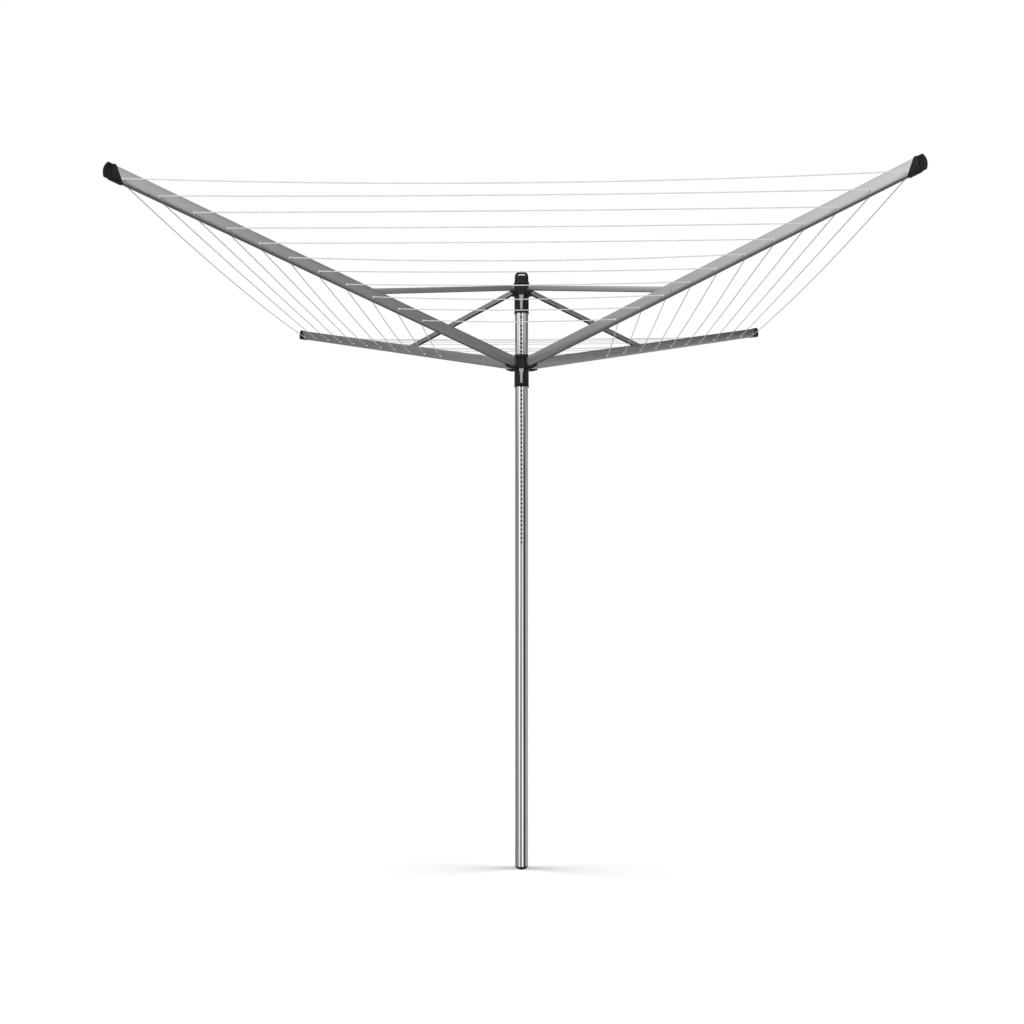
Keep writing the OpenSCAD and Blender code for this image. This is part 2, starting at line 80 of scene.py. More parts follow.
@dataclass(frozen=True)
class Linkage:
    """The umbrella's own sizes in metres and degrees, the same as the CAD source's."""

    mast_r: float = 22.5 * MM
    foot_up: float = 10 * MM
    pivot_r: float = 46 * MM
    lower_hub_z: float = 1764 * MM
    upper_hub_z: float = 2019 * MM
    arm_pivot_up: float = 6 * MM
    brace_pivot_down: float = 5 * MM
    leg: float = 630 * MM
    pin_up: float = 10 * MM
    pin_down: float = 5.5 * MM
    brace_pin_in: float = 2 * MM
    brace_pin_out: float = 3 * MM
    pin_r: float = 3 * MM
    folded_leg_tilt: float = 84.0
    arm_len: float = 1414 * MM
    arm_h: float = 36 * MM
    arm_w: float = 15 * MM
    arm_wall: float = 1.2 * MM
    brace_h: float = 16 * MM
    brace_w: float = 12 * MM
    brace_wall: float = 1.2 * MM
    levels: int = 11
    line_first: float = 398 * MM
    line_pitch: float = 98.8 * MM
    line_down: float = 7 * MM
    line_out: float = 10.1 * MM
    line_r: float = 1.5 * MM

    @property
    def arm_pivot_z(self) -> float:
        """Height of the pivots on the lower hub."""
        return self.lower_hub_z + self.arm_pivot_up

    @property
    def brace_pivot_z(self) -> float:
        """Height of the pivots on the upper hub."""
        return self.upper_hub_z - self.brace_pivot_down

    @property
    def leg_tilt(self) -> float:
        """Slope in radians of a brace, and of the line through an arm's pins."""
        return math.asin((self.brace_pivot_z - self.arm_pivot_z) / 2 / self.leg)

    @property
    def pin_turn(self) -> float:
        """Angle in radians from an arm's line of pins to its tube."""
        return math.asin((self.pin_up + self.pin_down) / self.leg)

    @property
    def brace_turn(self) -> float:
        """Angle in radians from a brace's line of pins to its channel."""
        return math.asin((self.brace_pin_in + self.brace_pin_out) / self.leg)

    @property
    def brace_len(self) -> float:
        """Distance along a brace from its hub pin to its arm pin."""
        return self.leg * math.cos(self.brace_turn)

    @property
    def arm_tilt(self) -> float:
        """Slope of an arm tube at rest, in radians."""
        return self.leg_tilt + self.pin_turn

    @property
    def arm_tilt_folded(self) -> float:
        """Slope of a folded arm tube, in radians."""
        return math.radians(self.folded_leg_tilt) + self.pin_turn

    @property
    def brace_pin_l(self) -> float:
        """Distance along an arm from its hub pivot to its brace pin."""
        return self.leg * math.cos(self.pin_turn)

    @property
    def arm_mid(self) -> float:
        """Height of an arm tube's middle in the arm's own frame."""
        return -self.pin_up

    @property
    def line_q(self) -> float:
        """Height of the line holes in the arm's own frame."""
        return self.arm_mid - self.line_down

    @staticmethod
    def bearing(i: int) -> float:
        """Bearing of arm i round the mast, in radians from +X."""
        return math.radians(90 * i - 45)

    def line_l(self, level: int) -> float:
        """Distance along an arm from its hub pivot to a line hole."""
        return self.line_first + level * self.line_pitch

    def hole_radius(self, level: int, tilt: float) -> float:
        """Distance of a line hole from the mast's axis with the arm at a slope."""
        return (
            self.pivot_r
            + self.line_l(level) * math.cos(tilt)
            - self.line_q * math.sin(tilt)
        )

    def in_arm(self, i: int) -> Matrix:
        """Matrix from arm i's frame, +X along it from its hub pivot, to the row frame."""
        return self._leg_frame(i, self.arm_pivot_z, -self.arm_tilt)

    def in_brace(self, i: int) -> Matrix:
        """Matrix from brace i's frame, +X along its middle, to the row frame."""
        pitch = self.leg_tilt - self.brace_turn
        return self._leg_frame(i, self.brace_pivot_z, pitch) @ Matrix.Translation(
            (0, 0, -self.brace_pin_in)
        )

    def _leg_frame(self, i: int, height: float, pitch: float) -> Matrix:
        """Matrix of a leg that starts at a hub pivot and is turned by pitch about +Y."""
        return (
            Matrix.Rotation(self.bearing(i), 4, "Z")
            @ Matrix.Translation((self.pivot_r, 0, height))
            @ Matrix.Rotation(pitch, 4, "Y")
        )


LINK = Linkage()
ARMS = range(1, 5)


# ---- materials ----


class Wire:
    """An output socket that takes arithmetic, adding the Math nodes it needs."""

    def __init__(self, recipe: "Recipe", socket: bpy.types.NodeSocket) -> None:
        """Wraps a socket of a recipe's tree."""
        self.recipe = recipe
        self.socket = socket

    def _math(self, operation: str, first: Any, second: Any) -> "Wire":
        """The value of a Math node on two operands, each a wire or a number."""
        return self.recipe.node(
            "ShaderNodeMath", {"operation": operation}, {0: first, 1: second}
        )

    def __add__(self, other: Any) -> "Wire":
        """self + other."""
        return self._math("ADD", self, other)

    def __radd__(self, other: Any) -> "Wire":
        """other + self."""
        return self._math("ADD", other, self)

    def __sub__(self, other: Any) -> "Wire":
        """self - other."""
        return self._math("SUBTRACT", self, other)

    def __rsub__(self, other: Any) -> "Wire":
        """other - self."""
        return self._math("SUBTRACT", other, self)

    def __mul__(self, other: Any) -> "Wire":
        """self * other."""
        return self._math("MULTIPLY", self, other)

    def __rmul__(self, other: Any) -> "Wire":
        """other * self."""
        return self._math("MULTIPLY", other, self)


class Recipe:
    """A node tree that is written as expressions."""

    def __init__(self, owner: Any) -> None:
        """Empties the node tree of a material or a world."""
        owner.use_nodes = True
        self.tree = owner.node_tree
        self.tree.nodes.clear()

    def node(
        self,
        kind: str,
        settings: Mapping[str, Any] | None = None,
        inputs: Mapping[Any, Any] | None = None,
        output: Any = 0,
    ) -> Wire:
        """Adds any node.

        Args:
            kind: the node's type name.
            settings: the node's own properties, set before its sockets; "stops"
                is a ramp's list of (position, grey) pairs.
            inputs: a value or a wire for each named or numbered input socket.
            output: the name or number of the socket to return.

        Returns:
            That output as a wire.
        """
        made = self.tree.nodes.new(kind)
        for key, value in (settings or {}).items():
            if key == "stops":
                self._stops(made, value)
            else:
                setattr(made, key, value)
        for key, value in (inputs or {}).items():
            if isinstance(value, Wire):
                self.tree.links.new(value.socket, made.inputs[key])
            else:
                made.inputs[key].default_value = value
        return Wire(self, made.outputs[output]) if len(made.outputs) else None

    @staticmethod
    def _stops(ramp: bpy.types.Node, stops: Stops) -> None:
        """Writes a Color Ramp's stops.

        Args:
            ramp: the Color Ramp node.
            stops: its positions and their greys, from low to high.
        """
        elements = ramp.color_ramp.elements
        while len(elements) < len(stops):
            elements.new(0.5)
        for element, (position, tone) in zip(elements, stops):
            element.position = position
            element.color = grey(tone)

    def ramp(self, value: Wire, stops: Stops) -> Wire:
        """A value read through the stops of a Color Ramp."""
        return self.node("ShaderNodeValToRGB", {"stops": stops}, {"Fac": value})

    def place(self, turn: Point = (0, 0, 0), scale: Point = (1, 1, 1)) -> Wire:
        """Object coordinates for a pattern.

        Args:
            turn: how they are turned first, in radians.
            scale: how they are stretched then.

        Returns:
            The turned and stretched coordinates.
        """
        here = self.node("ShaderNodeTexCoord", output="Object")
        turned = self.node("ShaderNodeMapping", {}, {"Vector": here, "Rotation": turn})
        return self.node("ShaderNodeMapping", {}, {"Vector": turned, "Scale": scale})

    def noise(self, where: Wire, scale: float, detail: float = 3.0) -> Wire:
        """Fractal noise of about 0 to 1 at a point."""
        return self.node(
            "ShaderNodeTexNoise", {},
            {"Vector": where, "Scale": scale, "Detail": detail, "Roughness": OCTAVE_FADE},
        )

    def blend(self, share: Wire, low: Any, high: Any) -> Wire:
        """Two colours or colour wires, mixed by a share of 0 to 1."""
        return self.node(
            "ShaderNodeMix", {"data_type": "RGBA"},
            {"Factor": share, MIX_LOW: low, MIX_HIGH: high}, MIX_RESULT,
        )

    def shade(self, share: Wire, low: float, high: float, tint: float) -> Wire:
        """A colour between two greys, with a slight cool or warm tint.

        Args:
            share: 0 for the low grey and 1 for the high one.
            low: the darker grey.
            high: the lighter grey.
            tint: how much more blue than red there is, as a share.

        Returns:
            The mixed colour.
        """
        return self.blend(share, grey(low, tint), grey(high, tint))

    def surface(
        self, varying: Mapping[str, Wire], fixed: Mapping[str, float],
        height: Wire, depth: float,
    ) -> None:
        """Closes the tree with a Principled shader.

        Args:
            varying: wires for Base Color, Roughness and the like.
            fixed: numbers that are the same all over the surface.
            height: the relief, 0 to 1, that the Bump node reads.
            depth: the relief's depth in metres.
        """
        bump = self.node(
            "ShaderNodeBump", {}, {"Height": height, "Distance": depth, "Strength": 1.0}
        )
        shader = self.node(
            "ShaderNodeBsdfPrincipled", {}, {**fixed, **varying, "Normal": bump}
        )
        self.node("ShaderNodeOutputMaterial", {}, {"Surface": shader})


def grey(value: float, tint: float = 0.0) -> tuple[float, float, float, float]:
    """A grey with a slight tint towards blue, as an RGBA colour."""
    return (value * (1 - tint), value, value * (1 + tint), 1.0)


@dataclass(frozen=True)
class Finish(ABC):
    """What every finish of the clothesline has."""

    name: str
    tone: float
    rough: float

    def material(self) -> bpy.types.Material:
        """Builds the finish as a new material."""
        made = bpy.data.materials.new(self.name)
        made.diffuse_color = grey(self.tone)
        self.mix(Recipe(made))
        return made

    @abstractmethod
    def mix(self, recipe: Recipe) -> None:
        """Writes the finish into an empty node tree."""


@dataclass(frozen=True)
class DrawnMetal(Finish):
    """Metal tube with fine lines along its length, from being drawn or extruded.

    A tube round the Z axis may have a dull inner wall, within the radius bore, whose
    near-black colour is painted shade.
    """

    turn: Point = (0.0, 0.0, 0.0)
    along: int = 2
    grain: float = 0.5
    depth: float = 0.012 * MM
    bore: float = 0.0
    # painted shade: the near-black colour of the bore's inner wall
    bore_painted_shade: float = 0.02
    bore_rough: float = 0.8
    stretch: float = 0.012
    streak_scale: float = 900.0
    broad_scale: float = 120.0
    cloud_scale: float = 9.0
    smear_stops: Stops = ((0.58, 0.0), (0.74, 1.0))
    smear_rough: float = 0.03
    tone_swing: float = 0.3
    rough_swing: float = 0.22
    tint: float = 0.012

    def mix(self, recipe: Recipe) -> None:
        """Long streaks change the tone, the gloss and the relief together.

        Args:
            recipe: the empty node tree.
        """
        stretch = [1.0, 1.0, 1.0]
        stretch[self.along] = self.stretch
        stretch = tuple(stretch)
        streak = recipe.noise(recipe.place(self.turn, stretch), self.streak_scale)
        broad = recipe.noise(recipe.place(self.turn, stretch), self.broad_scale, 2.0)
        cloud = recipe.noise(recipe.place(), self.cloud_scale, 4.0)
        drawn = streak * 0.5 + broad * 0.3 + cloud * 0.2
        smear = recipe.ramp(cloud, self.smear_stops)
        swing = self.tone_swing * self.grain
        colour = recipe.shade(
            drawn, self.tone * (1 - swing), self.tone * (1 + swing), self.tint
        )
        swing = self.rough_swing * self.grain
        rough = drawn * swing + smear * self.smear_rough + (self.rough - swing / 2)
        # painted shade: the inner wall's near-black colour stands in for the shade inside
        # the tube; its roughness is the bore's own
        if self.bore:
            outside = self.outside(recipe)
            colour = recipe.blend(outside, grey(self.bore_painted_shade), colour)
            rough = rough * outside + (1 - outside) * self.bore_rough
        recipe.surface(
            {"Base Color": colour, "Roughness": rough},
            {"Metallic": 1.0}, streak, self.depth,
        )

    def outside(self, recipe: Recipe) -> Wire:
        """A mask for the outside of the tube, which keeps the painted shade to the bore.

        Args:
            recipe: the node tree.

        Returns:
            1 outside the bore, and 0 on its inner wall.
        """
        flat = recipe.node(
            "ShaderNodeVectorMath", {"operation": "MULTIPLY"},
            {0: recipe.place(), 1: (1.0, 1.0, 0.0)},
        )
        radius = recipe.node(
            "ShaderNodeVectorMath", {"operation": "LENGTH"}, {0: flat}, output="Value"
        )
        return recipe.node(
            "ShaderNodeMath", {"operation": "GREATER_THAN"}, {0: radius, 1: self.bore}
        )


@dataclass(frozen=True)
class MouldedPlastic(Finish):
    """Moulded plastic with a fine spark-eroded skin and a slight bloom."""

    skin: float = 0.035 * MM
    bloom: float = 0.35
    tint: float = 0.02
    gloss: float = 0.5
    pebble_scale: float = 1400.0
    cloud_scale: float = 34.0
    scuff_scale: float = 260.0
    scuff_turn: Point = (0.4, 0.2, 0.7)
    scuff_stretch: Point = (1.0, 1.0, 0.08)
    scuff_stops: Stops = ((0.62, 0.0), (0.72, 1.0))

    def mix(self, recipe: Recipe) -> None:
        """A pebbled skin, cloudy bloom and a few scuffs.

        Args:
            recipe: the empty node tree.
        """
        where = recipe.place()
        pebbles = recipe.noise(where, self.pebble_scale, 2.0)
        cloud = recipe.noise(where, self.cloud_scale, 4.0)
        scuff = recipe.noise(
            recipe.place(self.scuff_turn, self.scuff_stretch), self.scuff_scale, 4.0
        )
        rubbed = recipe.ramp(scuff, self.scuff_stops)
        share = cloud * 0.6 + pebbles * 0.2 + rubbed * 0.2
        dark, light = self.tone * (1 - self.bloom), self.tone * (1 + self.bloom)
        unevenness = cloud * 0.14 + pebbles * 0.08 + rubbed * 0.06
        recipe.surface(
            {
                "Base Color": recipe.shade(share, dark, light, self.tint),
                "Roughness": unevenness + (self.rough - 0.13),
            },
            {"Metallic": 0.0, "IOR": 1.5, "Specular IOR Level": self.gloss},
            pebbles * 0.8 + rubbed * 0.2, self.skin,
        )


@dataclass(frozen=True)
class PlatedSteel(Finish):
    """Small bright-plated or spring steel parts, a little cloudy."""

    cloud_scale: float = 150.0
    prick_scale: float = 2200.0
    prick_depth: float = 0.01 * MM
    tint: float = 0.02

    def mix(self, recipe: Recipe) -> None:
        """Cloudy plating with pin-prick relief.

        Args:
            recipe: the empty node tree.
        """
        where = recipe.place()
        cloud = recipe.noise(where, self.cloud_scale, 4.0)
        pricks = recipe.noise(where, self.prick_scale, 2.0)
        dull, bright = self.tone * 0.75, self.tone * 1.2
        recipe.surface(
            {
                "Base Color": recipe.shade(cloud, dull, bright, self.tint),
                "Roughness": cloud * 0.2 + (self.rough - 0.1),
            },
            {"Metallic": 1.0}, pricks, self.prick_depth,
        )


@dataclass(frozen=True)
class CoatedLine(Finish):
    """Clothes line: a smooth plastic coat over a laid core that just shows through."""

    lay: float = 0.06 * MM
    weather_scale: float = 22.0
    speck_scale: float = 700.0
    speck_stops: Stops = ((0.56, 0.0), (0.7, 1.0))
    tint: float = 0.008

    def mix(self, recipe: Recipe) -> None:
        """A faint lay, weathered patches and specks of grime.

        Args:
            recipe: the empty node tree.
        """
        where = recipe.place()
        weather = recipe.noise(where, self.weather_scale, 4.0)
        specks = recipe.noise(where, self.speck_scale)
        grime = recipe.ramp(specks, self.speck_stops)
        clean = weather * 0.7 + (1 - grime) * 0.3
        dirty, white = self.tone * 0.72, self.tone * 1.12
        recipe.surface(
            {
                "Base Color": recipe.shade(clean, dirty, white, self.tint),
                "Roughness": weather * 0.15 + grime * 0.12 + (self.rough - 0.1),
            },
            {"Metallic": 0.0, "IOR": 1.46}, specks, self.lay,
        )


class Slot(Enum):
    """The record's material slots."""

    MAST = "mast"
    ARM = "arm_metal"
    BRACE = "brace_metal"
    BLACK = "black_plastic"
    GREY = "grey_plastic"
    EYELET = "eyelet_plastic"
    STEEL = "pin_steel"
    LINE = "clothes_line"


class Finishes:
    """Every finish, built once."""

    def __init__(self) -> None:
        """Builds the materials and keeps them by their slot, or slot and leg."""
        recipes = {
            Slot.MAST: DrawnMetal(
                "polished_mast_tube", tone=0.60, rough=0.13, grain=0.3, bore=21.4 * MM
            ),
            Slot.BLACK: MouldedPlastic(
                "black_moulded_plastic", tone=0.008, rough=0.36, gloss=0.22
            ),
            Slot.GREY: MouldedPlastic(
                "grey_moulded_plastic", tone=0.27, rough=0.42, bloom=0.12
            ),
            Slot.EYELET: MouldedPlastic(
                "light_eyelet_plastic", tone=0.74, rough=0.35, bloom=0.08, tint=0.0
            ),
            Slot.STEEL: PlatedSteel("plated_pin_steel", tone=0.5, rough=0.46),
            Slot.LINE: CoatedLine("coated_clothes_line", tone=0.52, rough=0.42),
        }
        self.plain = {slot: finish.material() for slot, finish in recipes.items()}
        self.legs = {
            (slot, i): self._along(f"{name}_{i}", leg(i), tone, rough)
            for slot, name, leg, tone, rough in (
                (Slot.ARM, "satin_arm_tube", LINK.in_arm, 0.45, 0.28),
                (Slot.BRACE, "satin_brace", LINK.in_brace, 0.40, 0.38),
            )
            for i in ARMS
        }

    def of(self, slot: Slot, leg: int = 0) -> bpy.types.Material:
        """The finish of a slot, which on an arm or a brace has its own direction."""
        return self.legs[slot, leg] if leg else self.plain[slot]

    @staticmethod
    def _along(name: str, leg: Matrix, tone: float, rough: float) -> bpy.types.Material:
        """Drawn metal whose lines follow a leg of the umbrella.

        Args:
            name: the material's name.
            leg: the matrix from the leg's frame to the row frame.
            tone: the metal's grey.
            rough: the metal's roughness.

        Returns:
            The new material.
        """
        turn = tuple(leg.to_3x3().inverted().to_euler("XYZ"))
        return DrawnMetal(
            name, tone, rough, turn=turn, along=0, grain=0.4, depth=0.008 * MM
        ).material()


# ---- modelling ----


class Pick(Enum):
    """What a test picks in edit mode."""

    EDGES = "EDGE"
    FACES = "FACE"


Test = Callable[[Vector, Vector], bool]


@dataclass
class Bench:
    """Models pieces with operators, in metres, one at a time."""

    finishes: Finishes

    @staticmethod
    def clear() -> None:
        """Leaves edit mode and deselects everything."""
        if bpy.context.object is not None and bpy.context.object.mode != "OBJECT":
            bpy.ops.object.mode_set(mode="OBJECT")
        bpy.ops.object.select_all(action="DESELECT")

    def take(self, piece: Piece) -> None:
        """Selects one piece alone and makes it active."""
        self.clear()
        piece.select_set(True)
        bpy.context.view_layer.objects.active = piece

    @staticmethod
    def push(x: float, z: float) -> None:
        """Extrudes what is selected."""
        bpy.ops.mesh.extrude_region_move(TRANSFORM_OT_translate={"value": (x, 0, z)})

    @staticmethod
    def edit(mode: str) -> None:
        """Enters edit mode with all selected, to work on VERT, EDGE or FACE."""
        bpy.ops.object.mode_set(mode="EDIT")
        bpy.ops.mesh.select_mode(type=mode)
        bpy.ops.mesh.select_all(action="SELECT")

    def block(self, low: Point, high: Point) -> Piece:
        """A box between two corners.

        Args:
            low: its lowest corner.
            high: its highest corner.

        Returns:
            The box, with its place in its mesh.
        """
        self.clear()
        centre = [(a + b) / 2 for a, b in zip(low, high)]
        bpy.ops.mesh.primitive_cube_add(size=1, location=centre)
        piece = bpy.context.object
        piece.scale = [b - a for a, b in zip(low, high)]
        bpy.ops.object.transform_apply()
        return piece

    def rod(self, radius: float, centre: Point, length: float, sides: int = 32) -> Piece:
        """A round rod along Y.

        Args:
            radius: its radius.
            centre: its middle.
            length: its length.
            sides: the sides of its round.

        Returns:
            The rod, with its place in its mesh.
        """
        self.clear()
        bpy.ops.mesh.primitive_cylinder_add(
            vertices=sides, radius=radius, depth=length, location=centre,
            rotation=(math.pi / 2, 0, 0),
        )
        bpy.ops.object.transform_apply()
        return bpy.context.object

    def turned(self, profile: Sequence[tuple[float, float]], sides: int = 64) -> Piece:
        """A piece turned about Z.

        Args:
            profile: (radius, height) points, drawn one after the other.
            sides: the steps of the spin.

        Returns:
            The turned piece, closed and facing outwards.
        """
        self.clear()
        bpy.ops.mesh.primitive_plane_add(size=MM)
        piece = bpy.context.object
        self.edit("VERT")
        bpy.ops.mesh.merge(type="CENTER")
        bpy.ops.transform.translate(value=(profile[0][0], 0, profile[0][1]))
        for (r0, z0), (r1, z1) in zip(profile, profile[1:]):
            self.push(r1 - r0, z1 - z0)
        bpy.ops.mesh.select_all(action="SELECT")
        bpy.ops.mesh.spin(steps=sides, angle=2 * math.pi, center=(0, 0, 0), axis=(0, 0, 1))
        bpy.ops.mesh.select_all(action="SELECT")
        bpy.ops.mesh.remove_doubles(threshold=MERGE)
        bpy.ops.mesh.normals_make_consistent(inside=False)
        self.clear()
        return piece

    def pick(self, piece: Piece, kind: Pick, test: Test) -> None:
        """Enters edit mode with only some edges or faces selected.

        Args:
            piece: the piece to edit.
            kind: whether edges or faces are picked.
            test: takes an edge's middle and direction, or a face's middle and
                normal, and says whether it counts.
        """
        self.take(piece)
        self.edit(kind.value)
        bpy.ops.mesh.select_all(action="DESELECT")
        mesh = bmesh.from_edit_mesh(piece.data)
        if kind is Pick.EDGES:
            ends = [(edge, *(vert.co for vert in edge.verts)) for edge in mesh.edges]
            found = [(edge, (a + b) / 2, (b - a).normalized()) for edge, a, b in ends]
        else:
            found = [(f, f.calc_center_median(), f.normal) for f in mesh.faces]
        for part, middle, way in found:
            if test(middle, way):
                part.select_set(True)
        bmesh.update_edit_mesh(piece.data)

    def round_edges(self, piece: Piece, radius: float, segments: int, test: Test) -> None:
        """Rounds some edges of a piece.

        Args:
            piece: the piece.
            radius: the rounding in metres.
            segments: the steps of the rounding.
            test: takes an edge's middle and direction, and says whether it counts.
        """
        self.pick(piece, Pick.EDGES, test)
        bpy.ops.mesh.bevel(offset=radius, segments=segments, clamp_overlap=True)
        bpy.ops.mesh.select_all(action="SELECT")
        bpy.ops.mesh.remove_doubles(threshold=MERGE)
        self.clear()

    def soften(self, piece: Piece, width: float, segments: int = 2) -> Piece:
        """Rounds every crease of a piece with an applied Bevel modifier.

        Args:
            piece: the piece.
            width: the rounding in metres.
            segments: the steps of the rounding.

        Returns:
            The same piece.
        """
        self.take(piece)
        bevel = piece.modifiers.new("soft_edges", "BEVEL")
        bevel.width = width
        bevel.segments = segments
        bevel.limit_method = "ANGLE"
        bevel.angle_limit = CREASE
        bevel.use_clamp_overlap = True
        bpy.ops.object.modifier_apply(modifier=bevel.name)
        return piece

    def cut(self, piece: Piece, tools: Iterable[Piece]) -> Piece:
        """Cuts tools out of a piece, one by one.

        Args:
            piece: the piece.
            tools: what is cut out of it, and removed.

        Returns:
            The same piece.
        """
        for tool in tools:
            self.take(piece)
            step = piece.modifiers.new("cut", "BOOLEAN")
            step.operation = "DIFFERENCE"
            step.solver = "EXACT"
            step.object = tool
            bpy.ops.object.modifier_apply(modifier=step.name)
            bpy.data.objects.remove(tool)
        return piece

    def join(self, pieces: Sequence[Piece]) -> Piece:
        """Joins separate solids into one piece.

        Args:
            pieces: the solids.

        Returns:
            The joined piece.
        """
        self.clear()
        for piece in pieces:
            piece.select_set(True)
        bpy.context.view_layer.objects.active = pieces[0]
        bpy.ops.object.join()
        return bpy.context.object

    @staticmethod
    def copy(piece: Piece, matrix: Matrix) -> Piece:
        """A copy with its own mesh.

        Args:
            piece: the pattern piece.
            matrix: what moves the copy, in the mesh itself.

        Returns:
            The copy.
        """
        made = bpy.data.objects.new(piece.name, piece.data.copy())
        bpy.context.scene.collection.objects.link(made)
        made.data.transform(matrix)
        return made

    def from_node(self, node: str, width: float, segments: int = 2) -> Piece:
        """A copy of a CAD node, merged and with its edges rounded.

        Args:
            node: the CAD node's name.
            width: the rounding in metres.
            segments: the steps of the rounding.

        Returns:
            The copy, as a piece of its own.
        """
        piece = self.copy(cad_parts[node], Matrix())
        self.take(piece)
        bpy.ops.mesh.customdata_custom_splitnormals_clear()
        self.edit("VERT")
        bpy.ops.mesh.remove_doubles(threshold=NODE_MERGE)
        bpy.ops.mesh.dissolve_limited(angle_limit=FLAT)
        return self.soften(piece, width, segments)

    def finish(
        self, piece: Piece, name: str, body: str, slot: Slot, node: str,
        leg: int = 0, angle: float = 34.0,
    ) -> None:
        """Smooths, dresses and hands over a piece.

        Args:
            piece: the modelled mesh, in place.
            name: its name in the finished scene.
            body: the CAD body that it rides on.
            slot: the record's slot that its finish stands for.
            node: the CAD node that it stands for.
            leg: the number of the arm or brace whose direction its finish has.
            angle: creases sharper than this, in degrees, stay sharp.
        """
        self.take(piece)
        piece.name = name
        piece.data.name = name
        bpy.ops.object.shade_smooth_by_angle(angle=math.radians(angle))
        piece.data.materials.clear()
        piece.data.materials.append(self.finishes.of(slot, leg))
        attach(piece, body)
        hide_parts(node)
        LOG.info("%s: %d faces on %s", name, len(piece.data.polygons), body)


# ---- studio ----


class Lit(Enum):
    """What a lamp lights, as light linking names it."""

    FLOOR = "INCLUDE"
    ALL_ELSE = "EXCLUDE"


@dataclass
class Studio:
    """Camera, pale floor, soft lamps, and the tent that the metal mirrors.

    The tent's panels stand all round, and its ceiling and its ground each take
    over from them between two heights of the unit sphere. Angles are in degrees,
    and lights are (bearing, brightness), from behind over the left to behind again.
    """

    distance: float = 3.582
    bearing: float = 1.5
    eye: float = 1.125
    sensor: float = 36.0
    lens: float = 36.14
    shift_x: float = -0.009375
    shift_y: float = 0.0322265625
    view_end: float = 200.0
    floor_size: float = 60.0
    floor_tone: float = 0.93
    lamp_power: float = 3.05
    lamp_height: float = 33.0
    lamp_lean: float = -4.0
    lamp_spread: float = 36.0
    front_power: float = 3.0
    front_lean: float = 68.0
    ceiling: tuple[float, float] = (0.09, 0.24)
    ground: tuple[float, float] = (-0.3, -0.42)
    ground_light: float = 0.16
    matt_cut: float = 0.85
    ceiling_lights: Stops = (
        (-180, 0.25), (-106, 0.12), (-98, 0.35), (-88, 0.85), (-66, 1.9), (-50, 0.8),
        (-44, 1.7), (-34, 1.7), (-28, 0.4), (5, 0.4), (12, 1.7), (26, 1.7),
        (36, 0.4), (50, 0.4), (64, 1.5), (84, 0.16), (108, 0.1), (180, 0.25),
    )
    panel_lights: Stops = (
        (-180, 0.30), (-110, 0.36), (-54, 0.36), (-45, 1.7), (-34, 1.7), (-27, 0.36),
        (4, 0.36), (12, 1.7), (26, 1.7), (36, 0.4), (47, 0.03), (63, 0.03),
        (78, 0.45), (92, 0.66), (120, 0.6), (180, 0.30),
    )

    def build(self) -> None:
        """Sets up everything that isn't part of the clothesline."""
        bpy.context.scene.view_settings.view_transform = "Standard"
        self.add_camera()
        self.add_floor()
        self.add_tent()
        side = 90 - self.lamp_height
        self.lamp("left_lamp", self.lamp_lean, -side, self.lamp_power, Lit.FLOOR)
        self.lamp("right_lamp", self.lamp_lean, side, self.lamp_power, Lit.FLOOR)
        self.lamp("front_lamp", self.front_lean, 0, self.front_power, Lit.ALL_ELSE)

    def add_camera(self) -> None:
        """A level camera that faces the mast."""
        data = bpy.data.cameras.new("camera")
        data.sensor_width = self.sensor
        data.lens = self.lens
        data.shift_x, data.shift_y = self.shift_x, self.shift_y
        data.clip_end = self.view_end
        camera = bpy.data.objects.new("camera", data)
        turn = math.radians(self.bearing)
        camera.location = (
            self.distance * math.sin(turn), -self.distance * math.cos(turn), self.eye
        )
        camera.rotation_euler = (math.pi / 2, 0, turn)
        bpy.context.scene.collection.objects.link(camera)
        bpy.context.scene.camera = camera

    def add_floor(self) -> None:
        """A plain pale floor, which the metal doesn't mirror."""
        bpy.ops.object.select_all(action="DESELECT")
        bpy.ops.mesh.primitive_plane_add(size=self.floor_size)
        floor = bpy.context.object
        floor.name = "floor"
        material = bpy.data.materials.new("pale_floor")
        recipe = Recipe(material)
        pale = {"Color": grey(self.floor_tone), "Roughness": 0.0}
        shader = recipe.node("ShaderNodeBsdfDiffuse", {}, pale)
        recipe.node("ShaderNodeOutputMaterial", {}, {"Surface": shader})
        floor.data.materials.append(material)
        floor.visible_glossy = False

    def add_tent(self) -> None:
        """White to the eye, and a tent of soft boxes and flags to the metal."""
        world = bpy.data.worlds.new("studio")
        bpy.context.scene.world = world
        recipe = Recipe(world)
        way = recipe.node("ShaderNodeTexCoord", output="Generated")
        x, y, z = (
            recipe.node("ShaderNodeSeparateXYZ", {}, {"Vector": way}, axis)
            for axis in "XYZ"
        )
        angle = recipe.node("ShaderNodeMath", {"operation": "ARCTAN2"}, {0: x, 1: y * -1})
        turn = angle * (0.5 / math.pi) + 0.5
        above, below = (
            recipe.node(
                "ShaderNodeMapRange", {}, {"Value": z, "From Min": low, "From Max": high}
            )
            for low, high in (self.ceiling, self.ground)
        )
        panels, ceiling = (
            recipe.ramp(turn, [(degrees / 360 + 0.5, light) for degrees, light in lights])
            for lights in (self.panel_lights, self.ceiling_lights)
        )
        tent = panels * (1 - above) + ceiling * above
        light = tent * (1 - below) + below * self.ground_light
        eye = recipe.node("ShaderNodeLightPath", output="Is Camera Ray")
        matt = recipe.node("ShaderNodeLightPath", output="Is Diffuse Ray")
        strength = light * (1 - matt * self.matt_cut) * (1 - eye) + eye
        backdrop = recipe.node(
            "ShaderNodeBackground", {}, {"Color": grey(1.0), "Strength": strength}
        )
        recipe.node("ShaderNodeOutputWorld", {}, {"Surface": backdrop})

